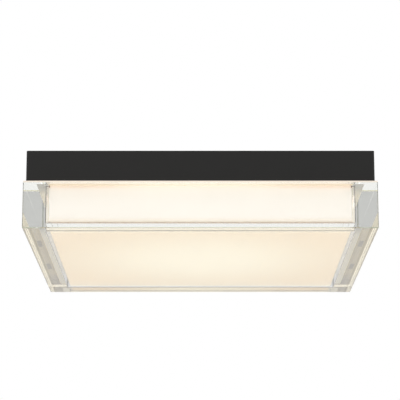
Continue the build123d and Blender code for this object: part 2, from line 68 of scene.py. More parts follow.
class Sheet:
    """Short ways to add and join nodes in one node tree."""

    def __init__(self, tree: bpy.types.NodeTree) -> None:
        """Start on an empty shader, world or geometry tree."""
        self.tree = tree
        tree.nodes.clear()

    def add(self, kind: str, inputs: dict | None = None, **options: object) -> bpy.types.Node:
        """Add one node.

        Args:
            kind: Blender's name of the node type.
            inputs: Values or output sockets, by the name or number of the input they go to.
            options: Properties of the node itself.

        Returns:
            The new node.
        """
        node = self.tree.nodes.new(kind)
        for name, value in options.items():
            setattr(node, name, value)
        for key, value in (inputs or {}).items():
            socket = node.inputs[key]
            for item in value if isinstance(value, list) else [value]:
                if isinstance(item, Socket):
                    self.tree.links.new(item, socket)
                else:
                    socket.default_value = item
        return node

    def give(self, kind: str, inputs: dict | None = None, **options: object) -> Socket:
        """Add one node and give its first output."""
        return self.add(kind, inputs, **options).outputs[0]

    def math(self, operation: str, first: object, second: object = 0.0) -> Socket:
        """Add one Math node and give its result."""
        return self.give("ShaderNodeMath", {0: first, 1: second}, operation=operation)

    def times(self, *values: object) -> Socket:
        """Multiply values; masks of 0 and 1 give 1 where all of them are 1."""
        return reduce(partial(self.math, "MULTIPLY"), values)

    def above(self, value: object, least: object) -> Socket:
        """Give 1 where a value is above another, and 0 elsewhere."""
        return self.math("GREATER_THAN", value, least)

    def below(self, value: object, most: object) -> Socket:
        """Give 1 where a value is below another, and 0 elsewhere."""
        return self.math("LESS_THAN", value, most)

    def distance(self, axes: Sequence[Socket]) -> Socket:
        """Give the distance from the Z axis."""
        flat = self.give("ShaderNodeCombineXYZ", {0: axes[0], 1: axes[1]})
        return self.add("ShaderNodeVectorMath", {0: flat}, operation="LENGTH").outputs[1]


class Surface(Sheet):
    """A material's tree, which knows where the shaded point is in Object coordinates."""

    def __init__(self, tree: bpy.types.NodeTree) -> None:
        """Start on an empty material tree."""
        super().__init__(tree)
        self.place = self.add("ShaderNodeTexCoord").outputs["Object"]

    @cached_property
    def axes(self) -> Sequence[Socket]:
        """X, Y and Z of the point."""
        return self.add("ShaderNodeSeparateXYZ", {0: self.place}).outputs

    @property
    def level(self) -> Socket:
        """Height of the point."""
        return self.axes[2]

    @cached_property
    def across(self) -> Socket:
        """Distance from the plane midway between the left and right sides."""
        return self.math("ABSOLUTE", self.axes[0])

    @cached_property
    def along(self) -> Socket:
        """Distance from the plane midway between front and back."""
        return self.math("ABSOLUTE", self.axes[1])

    @cached_property
    def least(self) -> Socket:
        """The smaller of the two distances."""
        return self.math("MINIMUM", self.across, self.along)

    @cached_property
    def most(self) -> Socket:
        """The larger of the two distances."""
        return self.math("MAXIMUM", self.across, self.along)

    def spread(self, value: object, limits: Pair, to: Pair = (0.0, 1.0)) -> Socket:
        """Map a value that goes from limit to limit smoothly to another range."""
        inputs = dict(zip(("Value", "From Min", "From Max", "To Min", "To Max"), (value, *limits, *to)))
        return self.give("ShaderNodeMapRange", inputs, interpolation_type="SMOOTHSTEP")

    def blend(self, share: object, first: object, second: object) -> Socket:
        """Mix two colours or sockets by the share of the second, from 0 to 1."""
        pair = [colour if isinstance(colour, Socket) else (*colour, 1.0) for colour in (first, second)]
        return self.add("ShaderNodeMix", {0: share, 6: pair[0], 7: pair[1]}, data_type="RGBA").outputs[2]

    def fade(self, value: object, limits: Pair, first: object, second: object) -> Socket:
        """Blend from one colour to another while a value goes from limit to limit."""
        return self.blend(self.spread(value, limits), first, second)

    def noise(self, size: float, detail: float = 2.0, place: Socket | None = None) -> Socket:
        """Add a noise pattern of the given size and give its value."""
        inputs = {"Vector": place or self.place, "Scale": 1.0 / size, "Detail": detail}
        return self.give("ShaderNodeTexNoise", inputs)


class Grain(Enum):
    """The small-scale texture of a finish."""

    FINE = "even fine grain"
    BRUSHED = "fine lines along X"
    SPANGLE = "flat crystals of zinc"
    PORES = "small closed pores"


@dataclass(frozen=True)
class Finish:
    """A solid finish with colour variation, grain and uneven gloss."""

    name: str
    colour: Colour
    roughness: float = 0.5
    metallic: float = 0.0
    specular: float = 0.5
    mottle: float = 0.12
    mottle_size: float = 0.02
    grain: Grain = Grain.FINE
    grain_size: float = 0.0006
    grain_height: float = 0.00002
    cloud_detail: float = 4.0
    cloud_range: Pair = (0.3, 0.7)
    grain_detail: float = 5.0
    grain_share: float = 0.4
    shade_range: Pair = (0.4, 1.0)
    line_detail: float = 3.0
    line_scale: Triple = (0.02, 1.0, 1.0)
    gloss_swing: float = 0.15
    bump_strength: float = 0.6

    @cache
    def material(self) -> bpy.types.Material:
        """Build the finish at its first use.

        Returns:
            The Blender material.
        """
        material = bpy.data.materials.new(self.name)
        material.use_nodes = True
        self.fill(Surface(material.node_tree))
        return material

    def fill(self, sheet: Surface) -> None:
        """Lay out the finish's nodes.

        Args:
            sheet: The material's empty tree.
        """
        cloud = sheet.noise(self.mottle_size, self.cloud_detail)
        grain = self.texture(sheet)
        shade = sheet.math("ADD", cloud, sheet.times(grain, self.grain_share))
        dark = [channel * (1.0 - self.mottle) for channel in self.colour]
        pale = [min(1.0, channel * (1.0 + self.mottle)) for channel in self.colour]
        swing = self.roughness * self.gloss_swing
        gloss = (self.roughness - swing, min(1.0, self.roughness + swing))
        bump = {"Strength": self.bump_strength, "Distance": self.grain_height, "Height": grain}
        inputs = {
            "Base Color": self.tone(sheet, sheet.fade(shade, self.shade_range, dark, pale)),
            "Roughness": sheet.spread(cloud, self.cloud_range, gloss),
            "Metallic": self.metallic,
            "Specular IOR Level": self.specular,
            "Normal": sheet.give("ShaderNodeBump", bump),
        }
        glow = self.glow(sheet)
        if glow is not None:
            inputs.update({"Emission Color": glow, "Emission Strength": 1.0})
        surface = sheet.give("ShaderNodeBsdfPrincipled", inputs)
        sheet.add("ShaderNodeOutputMaterial", {"Surface": surface})

    def tone(self, sheet: Surface, colour: Socket) -> Socket:
        """Keep a plain finish's colour; some finishes change it on some faces."""
        return colour

    def glow(self, sheet: Surface) -> Socket | None:
        """Give no light from a plain finish; lit finishes give the colour that they emit."""
        return None

    def texture(self, sheet: Surface) -> Socket:
        """Lay out the grain.

        Args:
            sheet: The material's tree.

        Returns:
            The grain as a value from 0 to 1.
        """
        if self.grain is Grain.FINE:
            return sheet.noise(self.grain_size, self.grain_detail)
        if self.grain is Grain.BRUSHED:
            lines = sheet.give("ShaderNodeMapping", {"Vector": sheet.place, "Scale": self.line_scale})
            return sheet.noise(self.grain_size, self.line_detail, lines)
        pattern = {"Vector": sheet.place, "Scale": 1.0 / self.grain_size}
        cells = sheet.add("ShaderNodeTexVoronoi", pattern).outputs
        if self.grain is Grain.PORES:
            return cells["Distance"]
        return sheet.give("ShaderNodeSeparateColor", {0: cells["Color"]})


@dataclass(frozen=True)
class MilledCoat(Finish):
    """Powder coat over a casting whose lowest faces, its stops, are milled bare."""

    bare: Colour = (0.52, 0.45, 0.36)
    milled_below: float = -0.0279

    def tone(self, sheet: Surface, colour: Socket) -> Socket:
        """Show bare metal below a level."""
        return sheet.blend(sheet.below(sheet.level, self.milled_below), colour, self.bare)


@dataclass(frozen=True)
class ClearAcrylic(Finish):
    """Cast clear acrylic: faint tint over long paths, polished faces, pocket's corners left matt as milled,
    with painted shade along them and dark tan painted shade along the pocket floor's edge.
    """

    density: float = 1.4
    refraction: float = 1.49
    tint: Colour = (0.72, 0.74, 0.66)
    haze_range: Pair = (0.45, 0.8)
    corner_shade: Colour = (0.01, 0.0095, 0.007)
    brink_shade: Colour = (0.57, 0.45, 0.33)
    matt: float = 0.5
    pocket_half: float = 0.134
    pocket_corner: float = 0.0008
    pocket_floor: float = -0.0621
    pocket_edge: float = 0.0008
    wall_slack: float = 0.0003
    floor_slack: float = 0.0001

    def fill(self, sheet: Surface) -> None:
        """Lay out the clear finish's nodes.

        Args:
            sheet: The material's empty tree.
        """
        pocket = sheet.below(sheet.most, self.pocket_half + self.wall_slack)
        corner = sheet.times(sheet.above(sheet.least, self.pocket_half - self.pocket_corner), pocket)
        brink = sheet.times(
            sheet.above(sheet.most, self.pocket_half - self.pocket_edge),
            pocket,
            sheet.below(sheet.level, self.pocket_floor + self.pocket_edge),
            sheet.above(sheet.level, self.pocket_floor - self.floor_slack),
        )
        haze = sheet.spread(sheet.noise(self.mottle_size), self.haze_range, (0.0, self.roughness))
        milling = sheet.times(sheet.math("MAXIMUM", corner, brink), self.matt)
        surface = {
            # painted shade: near black along the pocket's corners, dark tan along the pocket floor's edge;
            # the added roughness there is the real matt milling
            "Base Color": sheet.blend(corner, sheet.blend(brink, self.colour, self.brink_shade), self.corner_shade),
            "Roughness": sheet.math("ADD", haze, milling),
            "IOR": self.refraction,
            "Transmission Weight": 1.0,
        }
        volume = {"Color": (*self.tint, 1.0), "Density": self.density}
        inputs = {
            "Surface": sheet.give("ShaderNodeBsdfPrincipled", surface),
            "Volume": sheet.give("ShaderNodeVolumeAbsorption", volume),
        }
        sheet.add("ShaderNodeOutputMaterial", inputs)


@dataclass(frozen=True)
class OpalGlow(Finish):
    """Opal acrylic lit from behind: brightest under the LEDs, tan at its rim, dim along its lower edges; its
    side walls, the front ends of its side flanges and the corners of its air gap carry painted shade.
    """

    centre_glow: Colour = (0.97, 0.85, 0.57)
    border_glow: Colour = (0.82, 0.60, 0.31)
    wall_glow: Colour = (0.485, 0.446, 0.386)
    rim_glow: Colour = (0.50, 0.375, 0.315)
    rim_end_glow: Colour = (0.41, 0.285, 0.215)
    shaded_side_wall_glow: Colour = (0.41, 0.35, 0.23)
    shaded_side_wall_end_glow: Colour = (0.24, 0.215, 0.13)
    foot_glow: Colour = (0.475, 0.385, 0.27)
    edge_glow: Colour = (0.06, 0.03, 0.01)
    front_glow: Colour = (0.62, 0.54, 0.34)
    front_end_glow: Colour = (0.52, 0.37, 0.18)
    side_glow: Colour = (0.36, 0.32, 0.23)
    front_corner_shade: Colour = (0.16, 0.155, 0.13)
    shadow: Colour = (0.03, 0.025, 0.016)
    half: float = 0.1314
    bottom: float = -0.0609
    floor_slack: float = 0.00005
    border: float = 0.008
    border_fade: float = 0.003
    edge: float = 0.0008
    edge_drop: float = 0.0004
    edge_rise: float = 0.0007
    foot_fade: float = 0.0045
    rim: float = -0.0288
    rim_fade: float = 0.003
    flange_start: float = 0.0003
    flange_fade: float = 0.0003
    gap: float = 0.0027
    gap_line: float = 0.0004
    nook: float = 0.0009
    nook_fade: float = 0.0002
    reach_range: Pair = (0.02, 0.165)
    end_range: Pair = (0.02, 0.105)
    flank_range: Pair = (0.05, 0.125)
    front_corner_shade_range: Pair = (-0.122, -0.075)

    def gap_corner(self, sheet: Surface) -> Socket:
        """Find the four corners of the air gap under the flange, which no light reaches.

        Args:
            sheet: The material's tree.

        Returns:
            A socket that is 1 in those corners.
        """
        start = self.rim - self.nook
        reach = sheet.spread(sheet.level, (start, start + self.nook_fade), (self.gap_line, self.nook))
        inner = sheet.above(sheet.math("ADD", sheet.least, reach), self.half)
        return sheet.times(inner, sheet.below(sheet.most, self.half + self.gap))

    def tone(self, sheet: Surface, colour: Socket) -> Socket:
        """Paint shade on the flange's corners in the air gap."""
        return sheet.blend(self.gap_corner(sheet), colour, self.shadow)

    def glow(self, sheet: Surface) -> Socket:
        """Lay out the glow of floor, walls, rim and the flange's four sides.

        Args:
            sheet: The material's tree.

        Returns:
            The emitted colour's socket.
        """
        cloud = sheet.spread(sheet.noise(self.mottle_size), self.cloud_range, (0.0, self.mottle))
        share = sheet.math("ADD", sheet.spread(sheet.distance(sheet.axes), self.reach_range), cloud)
        floor = sheet.blend(share, self.centre_glow, self.border_glow)
        inner = self.half - self.edge - self.border
        floor = sheet.fade(sheet.along, (inner, inner + self.border_fade), floor, self.centre_glow)
        rim = sheet.fade(sheet.least, self.end_range, self.rim_glow, self.rim_end_glow)
        # painted shade: the left and right walls glow dimmer than the front and back walls, and dimmer
        # towards their ends
        flank = sheet.fade(sheet.along, self.flank_range, self.shaded_side_wall_glow, self.shaded_side_wall_end_glow)
        wall = sheet.blend(sheet.above(sheet.across, sheet.along), self.wall_glow, flank)
        wall = sheet.fade(sheet.level, (self.rim - self.rim_fade, self.rim), wall, rim)
        foot = self.bottom + self.edge
        wall = sheet.fade(sheet.level, (foot, foot + self.foot_fade), self.foot_glow, wall)
        wall = sheet.fade(sheet.level, (foot - self.edge_drop, foot + self.edge_rise), self.edge_glow, wall)
        front = sheet.fade(sheet.across, self.end_range, self.front_glow, self.front_end_glow)
        # painted shade: the side flanges turn dim towards their front ends only
        side = sheet.fade(sheet.axes[1], self.front_corner_shade_range, self.front_corner_shade, self.side_glow)
        flange = sheet.blend(sheet.above(sheet.across, self.half), front, side)
        start = self.half + self.flange_start
        body = sheet.fade(sheet.most, (start, start + self.flange_fade), wall, flange)
        # painted shade: no glow in the gap's corners and on the wall just below them
        dark = sheet.times(self.gap_corner(sheet), sheet.above(sheet.level, self.rim - self.nook))
        body = sheet.blend(dark, body, BLACK)
        return sheet.blend(sheet.below(sheet.level, self.bottom + self.floor_slack), body, floor)


@dataclass(frozen=True)
class LitSilicone(Finish):
    """Pale silicone with painted light from the lens below it: bright at its open lip, dim under the canopy,
    with painted shade towards the back.
    """

    lip_glow: Colour = (0.20, 0.17, 0.20)
    lip_under_glow: Colour = (0.95, 0.86, 0.64)
    band_glow: Colour = (0.16, 0.12, 0.05)
    band_back_glow: Colour = (0.03, 0.01, 0.0)
    band_range: Pair = (0.08, 0.125)
    cover: float = 0.1510
    front_cover: float = 0.1466
    lip_fade: float = 0.0004
    under: float = -0.02838

    def glow(self, sheet: Surface) -> Socket:
        """Lay out the painted light of the lip and of the covered band.

        Args:
            sheet: The material's tree.

        Returns:
            The emitted colour's socket.
        """
        # painted light on the lip, brighter on its lower part
        lip = sheet.blend(sheet.below(sheet.level, self.under), self.lip_glow, self.lip_under_glow)
        shares = [
            sheet.spread(place, (cover - self.lip_fade, cover + self.lip_fade))
            for place, cover in ((sheet.across, self.cover), (sheet.along, self.front_cover))
        ]
        # painted shade: the covered band's painted light fades out towards the back
        band = sheet.fade(sheet.axes[1], self.band_range, self.band_glow, self.band_back_glow)
        return sheet.blend(sheet.math("MAXIMUM", *shares), band, lip)


POWDER_COAT = MilledCoat("black_powder_coat", (0.0152, 0.0148, 0.0140), 0.55, specular=0.2, grain_size=0.0005)
ZINC = Finish("zinc_plate", (0.43, 0.44, 0.44), 0.48, 1.0, grain=Grain.SPANGLE, grain_size=0.006, mottle=0.14)
STEEL = Finish("screw_steel", (0.58, 0.58, 0.57), 0.30, 1.0, grain_size=0.0004)
BLACK_STEEL = Finish("black_oxide_steel", (0.045, 0.045, 0.047), 0.42, 0.6, grain_size=0.0004)
GREEN_STEEL = Finish("green_zinc_steel", (0.07, 0.30, 0.11), 0.34, 0.7, grain_size=0.0004)
RING_RUBBER = Finish("ring_rubber", (0.028, 0.028, 0.028), 0.85, grain=Grain.PORES, grain_size=0.0012)
SILICONE = LitSilicone("cream_silicone", (0.80, 0.72, 0.56), 0.60, mottle=0.05, grain_size=0.0008)
DRIVER_PLASTIC = Finish("driver_plastic", (0.78, 0.78, 0.76), 0.55, mottle=0.05, grain_size=0.0005)
BOARD_GREEN = Finish("green_board", (0.05, 0.22, 0.09), 0.40, grain=Grain.BRUSHED, grain_size=0.001)
TERMINAL_PLASTIC = Finish("terminal_plastic", (0.74, 0.72, 0.66), 0.45, mottle=0.06, grain_size=0.0005)
BLACK_LEAD, WHITE_LEAD, GREEN_LEAD, RED_LEAD = (
    Finish(name + "_insulation", colour, 0.42, mottle_size=0.008, grain_size=0.0004)
    for name, colour in (
        ("black", (0.024, 0.024, 0.025)),
        ("white", (0.76, 0.76, 0.73)),
        ("green", (0.05, 0.28, 0.08)),
        ("red", (0.46, 0.025, 0.022)),
    )
)
TINNED_COPPER = Finish("tinned_copper", (0.64, 0.62, 0.58), 0.32, 1.0, grain_size=0.0005)
GROMMET_RUBBER = Finish("grommet_rubber", (0.026, 0.026, 0.026), 0.65, grain_size=0.0006)
PAD_SILICONE = Finish("pad_silicone", (0.44, 0.47, 0.50), 0.70, grain_size=0.0008)
BOARD_WHITE = Finish(
    "white_board", (0.84, 0.84, 0.82), 0.40, mottle=0.04, grain=Grain.BRUSHED, grain_size=0.002
)
PHOSPHOR = Finish("led_phosphor", (0.90, 0.76, 0.30), 0.35, mottle=0.05)
CONNECTOR_PLASTIC = Finish("connector_plastic", (0.82, 0.82, 0.79), 0.45, mottle=0.05)
OPAL = OpalGlow("opal_acrylic", (0.80, 0.79, 0.76), 0.55, specular=0.3, mottle=0.04, mottle_size=0.05)
ACRYLIC = ClearAcrylic("clear_acrylic", WHITE, 0.02, mottle_size=0.03)
FLOOR_PAINT = Finish("floor_paint", (0.94, 0.94, 0.94), 0.8, specular=0.1, mottle=0.01, mottle_size=0.4)


def paint(mesh: Mesh, finish: Finish) -> None:
    """Give a mesh one finish in place of those it has."""
    mesh.materials.clear()
    mesh.materials.append(finish.material())


def link(name: str, data: bpy.types.ID, finish: Finish | None = None) -> Piece:
    """Put a mesh, curve, lamp or camera into the scene.

    Args:
        name: Name of the new object.
        data: What it shows; a mesh is already in place.
        finish: Finish to give a mesh that has none yet.

    Returns:
        The new object, at the origin.
    """
    data.name = name
    if finish is not None:
        paint(data, finish)
    made = bpy.data.objects.new(name, data)
    bpy.context.scene.collection.objects.link(made)
    return made


def smooth(mesh: Mesh, angle: float = 32.0) -> None:
    """Shade a mesh smooth, with edges sharper than an angle in degrees left sharp."""
    mesh.polygons.foreach_set("use_smooth", [True] * len(mesh.polygons))
    mesh.set_sharp_from_angle(angle=math.radians(angle))


def settle(piece: Piece) -> Mesh:
    """Turn a piece with modifiers, or a curve, into a plain smooth mesh and remove the piece.

    Args:
        piece: The object to evaluate.

    Returns:
        The evaluated mesh.
    """
    graph = bpy.context.evaluated_depsgraph_get()
    mesh = bpy.data.meshes.new_from_object(piece.evaluated_get(graph))
    bpy.data.objects.remove(piece)
    smooth(mesh)
    return mesh


def dress(**finishes: Finish) -> None:
    """Give CAD nodes that stay in view their finishes.

    Args:
        finishes: The finish for all of a node, by the node's name.
    """
    for node, finish in finishes.items():
        paint(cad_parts[node].data, finish)
        LOG.info("dressed %s in %s", node, finish.name)


def stand_for(
    node: str, suffix: str, mesh: Mesh, finish: Finish | None = None, body: str = "fixture"
) -> None:
    """Let a new piece stand for a CAD node.

    Args:
        node: The CAD node it stands for.
        suffix: What the piece's name adds to the node's.
        mesh: The piece's mesh.
        finish: Finish to give a mesh that has none yet.
        body: The CAD body it moves with.
    """
    piece = link(f"{node}_{suffix}", mesh, finish)
    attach(piece, body)
    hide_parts(node)
    LOG.info("%s stands for %s", piece.name, node)


def corners(reach: float, level: float) -> list[Point]:
    """Give the four corners of a level square round the Z axis."""
    return [(x * reach, y * reach, level) for x in SIDES for y in SIDES]


def rounded_loop(half: float, radius: float, level: float, steps: int = 6) -> list[Point]:
    """Points round a square with rounded corners.

    Args:
        half: Half the square's side.
        radius: Corner radius.
        level: Height of the loop.
        steps: Straight pieces in each corner.

    Returns:
        The points, counter-clockwise seen from above.
    """
    points = []
    for quarter in range(4):
        start = quarter * math.pi / 2
        middle = half - radius
        corner = Vector((middle, middle)) @ Matrix.Rotation(-start, 2)
        for step in range(steps + 1):
            angle = start + step / steps * math.pi / 2
            points.append((corner.x + radius * math.cos(angle), corner.y + radius * math.sin(angle), level))
    return points


def loft(loops: Sequence[Sequence[Point]], capped: bool) -> Mesh:
    """Join loops of equal length into a closed shell.

    Args:
        loops: The loops in order.
        capped: True to close the first and last loop with a face, False to join them.

    Returns:
        The closed mesh, facing outwards.
    """
    made = bmesh.new()
    rows = [[made.verts.new(point) for point in loop] for loop in loops]
    above = rows[1:] if capped else rows[1:] + rows[:1]
    for low, high in zip(rows, above):
        for index, vertex in enumerate(low):
            after = (index + 1) % len(low)
            made.faces.new((vertex, low[after], high[after], high[index]))
    if capped:
        made.faces.new(reversed(rows[0]))
        made.faces.new(rows[-1])
    bmesh.ops.recalc_face_normals(made, faces=made.faces[:])
    mesh = bpy.data.meshes.new("loft")
    made.to_mesh(mesh)
    made.free()
    return mesh


class GeometryTree(Sheet):
    """A Geometry Nodes tree with named inputs, evaluated into plain meshes."""

    def __init__(self, name: str, sizes: Sequence[str], finish: Finish) -> None:
        """Start a tree that takes points and sizes and gives one mesh.

        Args:
            name: Name of the tree.
            sizes: Names of its number inputs.
            finish: Finish of the result.
        """
        super().__init__(bpy.data.node_groups.new(name, "GeometryNodeTree"))
        self.finish = finish
        sockets = self.tree.interface
        sockets.new_socket("Mesh", in_out="OUTPUT", socket_type="NodeSocketGeometry")
        kinds = {"Points": "Geometry", **dict.fromkeys(sizes, "Float"), "Turn": "Vector"}
        self.keys: dict[str, str] = {
            size: sockets.new_socket(size, in_out="INPUT", socket_type="NodeSocket" + kind).identifier
            for size, kind in kinds.items()
        }
        self.given = self.add("NodeGroupInput").outputs

    def cylinder(self, sides: int, radius: object, depth: object, middle: object, rings: int = 1) -> Socket:
        """Add an upright cylinder, its middle at a level, with rings of faces on its ends."""
        size = {"Vertices": sides, "Fill Segments": rings, "Radius": radius, "Depth": depth}
        return self.lift(self.give("GeometryNodeMeshCylinder", size), middle)

    def lift(self, mesh: object, level: object) -> Socket:
        """Move a mesh up by a level."""
        move = self.give("ShaderNodeCombineXYZ", {"Z": level})
        return self.give("GeometryNodeTransform", {"Geometry": mesh, "Translation": move})

    def bar(self, size: Sequence[object], level: object) -> Socket:
        """Add a block of the given X, Y and Z sizes, its middle at a level."""
        sizes = self.give("ShaderNodeCombineXYZ", dict(enumerate(size)))
        return self.lift(self.give("GeometryNodeMeshCube", {"Size": sizes}), level)

    def cut(self, mesh: object, cutters: list) -> Socket:
        """Cut shapes out of a mesh."""
        inputs = {"Mesh 1": mesh, "Mesh 2": cutters}
        return self.give("GeometryNodeMeshBoolean", inputs, operation="DIFFERENCE", solver="EXACT")

    def join(self, *meshes: Socket) -> Socket:
        """Join meshes into one."""
        return self.give("GeometryNodeJoinGeometry", {0: list(meshes)})

    def end(self, shape: object, points: object = None) -> None:
        """Close the tree: put the shape on each point, realize it and set its material.

        Args:
            shape: Mesh of one piece.
            points: Where the pieces go; the tree's own points where left out.
        """
        turn = self.give("FunctionNodeEulerToRotation", {0: self.given["Turn"]})
        inputs = {"Points": points or self.given["Points"], "Instance": shape, "Rotation": turn}
        placed = self.give("GeometryNodeInstanceOnPoints", inputs)
        real = self.give("GeometryNodeRealizeInstances", {0: placed})
        coat = {"Geometry": real, "Material": self.finish.material()}
        self.add("NodeGroupOutput", {0: self.give("GeometryNodeSetMaterial", coat)})

    def make(self, points: Sequence[Point], sizes: dict[str, float], turn: Point = (0.0, 0.0, 0.0)) -> Mesh:
        """Run the tree.

        Args:
            points: Where its repeats go.
            sizes: Values of the named inputs.
            turn: Turn of each repeat, as angles about X, Y and Z.

        Returns:
            The result as a plain mesh.
        """
        seed = bpy.data.meshes.new("points")
        seed.from_pydata(list(points), [], [])
        carrier = link("points", seed)
        modifier = carrier.modifiers.new("tree", "NODES")
        modifier.node_group = self.tree
        for size, value in sizes.items():
            modifier[self.keys[size]] = float(value)
        modifier[self.keys["Turn"]] = turn
        return settle(carrier)


class Drive(Enum):
    """The recess in a screw head."""

    CROSS = "cross"
    SLOT = "slot"


@dataclass
class ScrewTree:
    """Domed screws: head above the point, shank below it."""

    finish: Finish
    drive: Drive = Drive.CROSS
    head_sides: int = 28
    head_rings: int = 6
    shank_sides: int = 20
    dome_power: float = 2.4
    top_share: float = 0.9
    drive_depth: float = 0.9
    cross_reach: float = 0.58
    slot_reach: float = 1.1

    def tree(self) -> GeometryTree:
        """Build the screws' tree.

        Returns:
            The finished tree.
        """
        made = GeometryTree(f"{self.drive.value}_screws_{self.finish.name}", SCREW_SIZES, self.finish)
        diameter, height, shank_diameter, length, dome, width = (made.given[size] for size in SCREW_SIZES)
        radius = made.times(diameter, 0.5)
        side = made.math("SUBTRACT", height, dome)
        head = made.cylinder(self.head_sides, radius, side, made.times(side, 0.5), self.head_rings)
        axes = made.add("ShaderNodeSeparateXYZ", {0: made.give("GeometryNodeInputPosition")}).outputs
        share = made.math("DIVIDE", made.distance(axes), radius)
        crown = made.math("SUBTRACT", 1.0, made.math("POWER", share, self.dome_power))
        on_top = made.above(axes[2], made.times(side, self.top_share))
        offset = made.give("ShaderNodeCombineXYZ", {"Z": made.times(crown, dome, on_top)})
        head = made.give("GeometryNodeSetPosition", {"Geometry": head, "Offset": offset})
        crossed = self.drive is Drive.CROSS
        reach = made.times(diameter, self.cross_reach if crossed else self.slot_reach)
        depth = made.times(height, self.drive_depth)
        recess = [made.bar((reach, width, depth), height)]
        if crossed:
            recess.append(made.bar((width, reach, depth), height))
        shank_radius = made.times(shank_diameter, 0.5)
        shank = made.cylinder(self.shank_sides, shank_radius, length, made.times(length, -0.5))
        made.end(made.join(made.cut(head, recess), shank))
        return made


@dataclass
class ScrewSet:
    """One node's screws; their size is head diameter, head height, shank diameter and shank length."""

    node: str
    tree: GeometryTree
    points: Sequence[Point]
    size: Quad
    slot: str = "screw_steel"
    body: str = "fixture"
    upside_down: bool = False
    dome: float = 0.0011
    drive_width: float = 0.0009

    def build(self) -> None:
        """Make the screws and let them stand for their node."""
        sizes = dict(zip(SCREW_SIZES, (*self.size, self.dome, self.drive_width)))
        turn = (math.pi if self.upside_down else 0.0, 0.0, 0.0)
        stand_for(self.node, "turned", self.tree.make(self.points, sizes, turn), body=self.body)


@dataclass
class Fasteners:
    """All small screws of the light."""

    plate_under: float = -0.0016
    floor_top: float = -0.0242
    module_seat: float = -0.0172
    board_under: float = BOARD_UNDER
    earth_seat: float = -0.0161
    clamp_foot: float = -0.0137
    ground: float = 0.040
    post: float = 0.1229
    board: float = 0.05745
    tabs: Pair = (-0.061825, 0.066175)
    terminal: float = -0.101825
    row: float = MODULE_ROW
    earth: Pair = (-0.072825, 0.042175)
    clamp_offset: float = 0.0055
    pole_pitch: float = POLE_PITCH
    small_size: Quad = (0.0056, 0.0022, 0.0030, 0.008)
    post_size: Quad = (0.0056, 0.0022, 0.0030, 0.012)
    earth_size: Quad = (0.0070, 0.0026, 0.0040, 0.008)
    ground_size: Quad = (0.0070, 0.0026, 0.0040, 0.0016)
    clamp_size: Quad = (0.004, 0.005, 0.003, 0.0004)
    clamp_dome: float = 0.0003

    def build(self) -> None:
        """Make every set of screws."""
        steel = ScrewTree(STEEL).tree()
        green = ScrewTree(GREEN_STEEL).tree()
        slotted = ScrewTree(STEEL, Drive.SLOT).tree()
        posts = corners(self.post, self.floor_top)
        board = [*corners(self.board, self.board_under), (0.0, 0.0, self.board_under)]
        module = [(x, self.row, self.module_seat) for x in self.tabs]
        module += [(self.terminal, self.row + y * self.pole_pitch / 2, self.module_seat) for y in SIDES]
        earth = [(*self.earth, self.earth_seat)]
        ground = [(self.ground, -self.ground, self.plate_under)]
        clamps = [
            (self.terminal + x * self.clamp_offset, self.row + pole * self.pole_pitch, self.clamp_foot)
            for x in SIDES
            for pole in (-1, 0, 1)
        ]
        sets = [
            ScrewSet("diffuser_screws", steel, posts, self.post_size),
            ScrewSet("module_screws", steel, module, self.small_size),
            ScrewSet("board_screws", steel, board, self.small_size, upside_down=True),
            ScrewSet("earth_screw", green, earth, self.earth_size, "green_screw"),
            ScrewSet(
                "ground_screw", green, ground, self.ground_size, "green_screw",
                body="ceiling_bracket", upside_down=True,
            ),
            ScrewSet("terminal_screws", slotted, clamps, self.clamp_size, dome=self.clamp_dome),
        ]
        for screws in sets:
            screws.build()


@dataclass
class SetScrews:
    """The two grub screws in the side walls, with their threads and hex sockets."""

    diameter: float = 0.004
    length: float = 0.012
    pitch: float = 0.0007
    key: float = 0.002
    outer_end: float = 0.14985
    level: float = -0.0121
    sides: int = 24
    ridge_share: float = 0.40
    point_share: float = 1.2
    tip_share: float = 0.6
    key_corner: float = 0.577
    socket_share: float = 0.42
    thread_start: float = 1.1
    thread_steps: int = 18
    ridge_sides: int = 4

    def tree(self) -> GeometryTree:
        """Build the grub screw's tree, its socket end on the point and its tip below it.

        Returns:
            The finished tree.
        """
        made = GeometryTree("grub_screws", ("Diameter", "Length", "Pitch", "Key"), BLACK_STEEL)
        length, pitch = made.given["Length"], made.given["Pitch"]
        ridge = made.times(pitch, self.ridge_share)
        core = made.math("SUBTRACT", made.times(made.given["Diameter"], 0.5), ridge)
        point = made.times(pitch, self.point_share)
        middle = made.math("ADD", made.times(length, -0.5), made.times(point, 0.5))
        body = made.cylinder(self.sides, core, made.math("SUBTRACT", length, point), middle)
        tip = made.times(core, self.tip_share)
        taper = {"Vertices": self.sides, "Radius Top": core, "Radius Bottom": tip, "Depth": point}
        cone = made.lift(made.give("GeometryNodeMeshCone", taper), made.times(length, -1.0))
        key_radius = made.times(made.given["Key"], self.key_corner)
        key = made.cylinder(6, key_radius, made.times(length, self.socket_share), 0.0)
        run = made.math("SUBTRACT", length, made.times(point, 2.0))
        coil = {"Resolution": self.thread_steps, "Rotations": made.math("DIVIDE", run, pitch), "Height": run}
        helix = made.give("GeometryNodeCurveSpiral", {**coil, "Start Radius": core, "End Radius": core})
        ring = {"Resolution": self.ridge_sides, "Radius": ridge}
        profile = made.give("GeometryNodeCurvePrimitiveCircle", ring)
        sweep = {"Curve": helix, "Profile Curve": profile, "Fill Caps": True}
        thread = made.give("GeometryNodeCurveToMesh", sweep)
        thread = made.lift(thread, made.math("SUBTRACT", made.times(point, self.thread_start), length))
        made.end(made.join(made.cut(body, [key]), cone, thread))
        return made

    def build(self) -> None:
        """Make both screws."""
        tree = self.tree()
        sizes = {"Diameter": self.diameter, "Length": self.length, "Pitch": self.pitch, "Key": self.key}
        for side, node in zip(SIDES, ("left_set_screw", "right_set_screw")):
            point = (side * self.outer_end, 0.0, self.level)
            mesh = tree.make([point], sizes, (0.0, side * math.pi / 2, 0.0))
            stand_for(node, "threaded", mesh, body=node)


